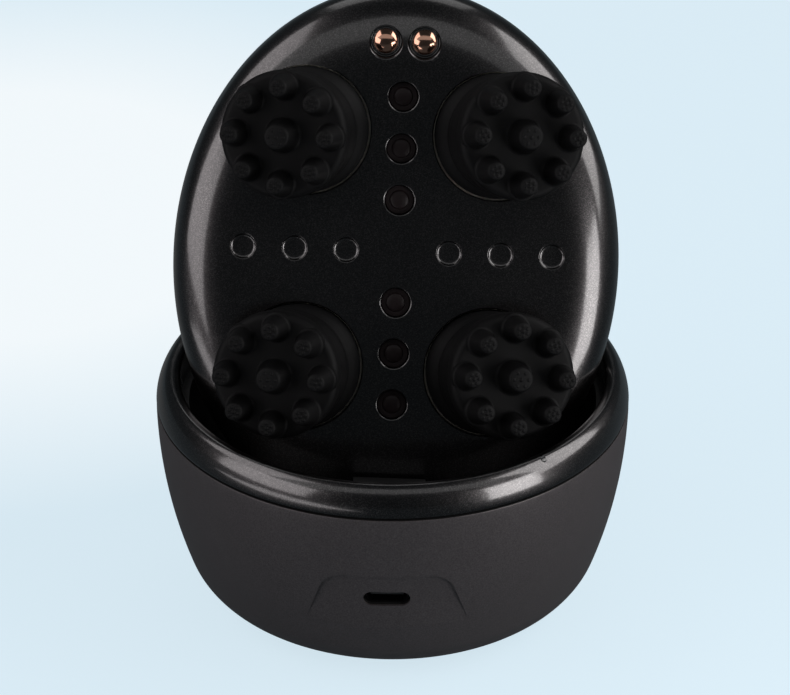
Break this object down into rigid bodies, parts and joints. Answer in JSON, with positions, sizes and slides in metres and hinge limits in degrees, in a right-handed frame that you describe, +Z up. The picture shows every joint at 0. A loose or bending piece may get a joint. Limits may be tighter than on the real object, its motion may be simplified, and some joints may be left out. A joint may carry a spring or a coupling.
{
  "type": "electric scalp massager",
  "caption": "Handheld scalp massager with turning silicone finger heads and a back button, standing in a round charging dock.",
  "frame": {"origin": "centre of the dock on the plane of its feet", "axes": "+Z up through the dock; -Y is the side with the charging port, which the face of the massager looks towards"},
  "size_m": [0.1, 0.1, 0.1248],
  "materials": {
    "shell_pearl": "deep grey pearl lacquer with fine sparkle",
    "bowl_satin": "satin dark grey",
    "cup_black": "fine matt black",
    "silicone": "soft matt black silicone",
    "core_plastic": "dark grey nylon",
    "nylon": "natural nylon",
    "bronze": "sintered bronze",
    "contact_gold": "polished gold plating",
    "steel": "bright zinc plating",
    "usb_steel": "nickel plated",
    "motor_steel": "drawn steel",
    "black_resin": "moulded black resin",
    "board_green": "solder mask",
    "battery_wrap": "shrink sleeve",
    "red_lens": "dark red clear plastic",
    "led_resin": "clear resin over a white package",
    "light_pipe": "clear plastic",
    "button_grey": "satin dark grey"
  },
  "bodies": {
    "dock": {"dock_shell": "bowl_satin", "dock_rim": "shell_pearl", "status_light": "light_pipe", "dock_cup": "cup_black", "seat_pad": "silicone", "base_plate": "bowl_satin", "dock_feet": "silicone", "dock_screws": "steel", "charge_board": "board_green", "board_screws": "steel", "charge_chip": "black_resin", "usb_shell": "usb_steel", "usb_tongue": "black_resin", "pin_block": "cup_black", "pin_barrels": "contact_gold", "spring_left": "steel", "spring_right": "steel"},
    "massager": {"face_plate": "shell_pearl", "back_shell": "shell_pearl", "shell_seal": "silicone", "led_lenses": "red_lens", "led_board": "board_green", "led_chips": "led_resin", "contact_collars": "black_resin", "contact_pins": "contact_gold", "boot_rings": "nylon", "front_carrier": "nylon", "rear_carrier": "nylon", "crank_bushes": "bronze", "chassis_screws": "steel", "gearbox": "motor_steel", "gearbox_screws": "steel", "motor": "motor_steel", "battery": "battery_wrap", "main_board": "board_green", "board_chips": "black_resin", "button_switch": "black_resin"},
    "pin_l": {"pin_left": "contact_gold"},
    "pin_r": {"pin_right": "contact_gold"},
    "button": {"power_button": "button_grey"},
    "sun": {"sun_gear": "nylon", "output_shaft": "steel"},
    "crank_ul": {"crank_ul": "nylon", "boot_ul": "silicone"},
    "head_ul": {"core_ul": "core_plastic", "pad_ul": "silicone"},
    "crank_ur": {"crank_ur": "nylon", "boot_ur": "silicone"},
    "head_ur": {"core_ur": "core_plastic", "pad_ur": "silicone"},
    "crank_ll": {"crank_ll": "nylon", "boot_ll": "silicone"},
    "head_ll": {"core_ll": "core_plastic", "pad_ll": "silicone"},
    "crank_lr": {"crank_lr": "nylon", "boot_lr": "silicone"},
    "head_lr": {"core_lr": "core_plastic", "pad_lr": "silicone"}
  },
  "joints": [
    {"name": "massager_lift", "type": "slide", "parent": "dock", "child": "massager", "axis": [0, 0, 1], "range_m": [0, 0.07]},
    {"name": "pin_left_push", "type": "slide", "parent": "dock", "child": "pin_l", "axis": [0.04, -0.9162, 0.3987], "range_m": [0, 0.0012], "stiffness_N_per_m": 400, "springref_m": -0.0008, "deforming": ["spring_left"]},
    {"name": "pin_right_push", "type": "slide", "parent": "dock", "child": "pin_r", "axis": [0.04, -0.9162, 0.3987], "range_m": [0, 0.0012], "stiffness_N_per_m": 400, "springref_m": -0.0008, "deforming": ["spring_right"]},
    {"name": "button_press", "type": "slide", "parent": "massager", "child": "button", "axis": [0.04, -0.9162, 0.3987], "range_m": [0, 0.0005], "stiffness_N_per_m": 2400, "springref_m": -0.0004},
    {"name": "motor_spin", "type": "hinge", "parent": "massager", "child": "sun", "pos_m": [0.00027, 0.01702, 0.07022], "axis": [0.04, -0.9162, 0.3987], "continuous": true},
    {"name": "crank_ul_spin", "type": "hinge", "parent": "massager", "child": "crank_ul", "pos_m": [-0.01877, 0.02633, 0.09353], "axis": [0.04, -0.9162, 0.3987], "continuous": true},
    {"name": "head_ul_nod", "type": "hinge", "parent": "crank_ul", "child": "head_ul", "pos_m": [-0.01839, 0.01762, 0.09732], "axis": [-0.1669, -0.9144, 0.3688], "continuous": true},
    {"name": "crank_ur_spin", "type": "hinge", "parent": "massager", "child": "crank_ur", "pos_m": [0.02068, 0.02733, 0.09188], "axis": [0.04, -0.9162, 0.3987], "continuous": true},
    {"name": "head_ur_nod", "type": "hinge", "parent": "crank_ur", "child": "head_ur", "pos_m": [0.02106, 0.01863, 0.09567], "axis": [0.2451, -0.8779, 0.4113], "continuous": true},
    {"name": "crank_ll_spin", "type": "hinge", "parent": "massager", "child": "crank_ll", "pos_m": [-0.02014, 0.0067, 0.04856], "axis": [0.04, -0.9162, 0.3987], "continuous": true},
    {"name": "head_ll_nod", "type": "hinge", "parent": "crank_ll", "child": "head_ll", "pos_m": [-0.01976, -0.00201, 0.05235], "axis": [-0.1669, -0.9144, 0.3688], "continuous": true},
    {"name": "crank_lr_spin", "type": "hinge", "parent": "massager", "child": "crank_lr", "pos_m": [0.01931, 0.00771, 0.04692], "axis": [0.04, -0.9162, 0.3987], "continuous": true},
    {"name": "head_lr_nod", "type": "hinge", "parent": "crank_lr", "child": "head_lr", "pos_m": [0.01969, -0.001, 0.05071], "axis": [0.2451, -0.8779, 0.4113], "continuous": true}
  ],
  "couplings": [
    {"joint": "crank_ul_spin", "follows": "motor_spin", "ratio": -1.4231},
    {"joint": "head_ul_nod", "follows": "motor_spin", "ratio": 1.4231},
    {"joint": "crank_ur_spin", "follows": "motor_spin", "ratio": -1.4231},
    {"joint": "head_ur_nod", "follows": "motor_spin", "ratio": 1.4231},
    {"joint": "crank_ll_spin", "follows": "motor_spin", "ratio": -1.4231},
    {"joint": "head_ll_nod", "follows": "motor_spin", "ratio": 1.4231},
    {"joint": "crank_lr_spin", "follows": "motor_spin", "ratio": -1.4231},
    {"joint": "head_lr_nod", "follows": "motor_spin", "ratio": 1.4231}
  ]
}
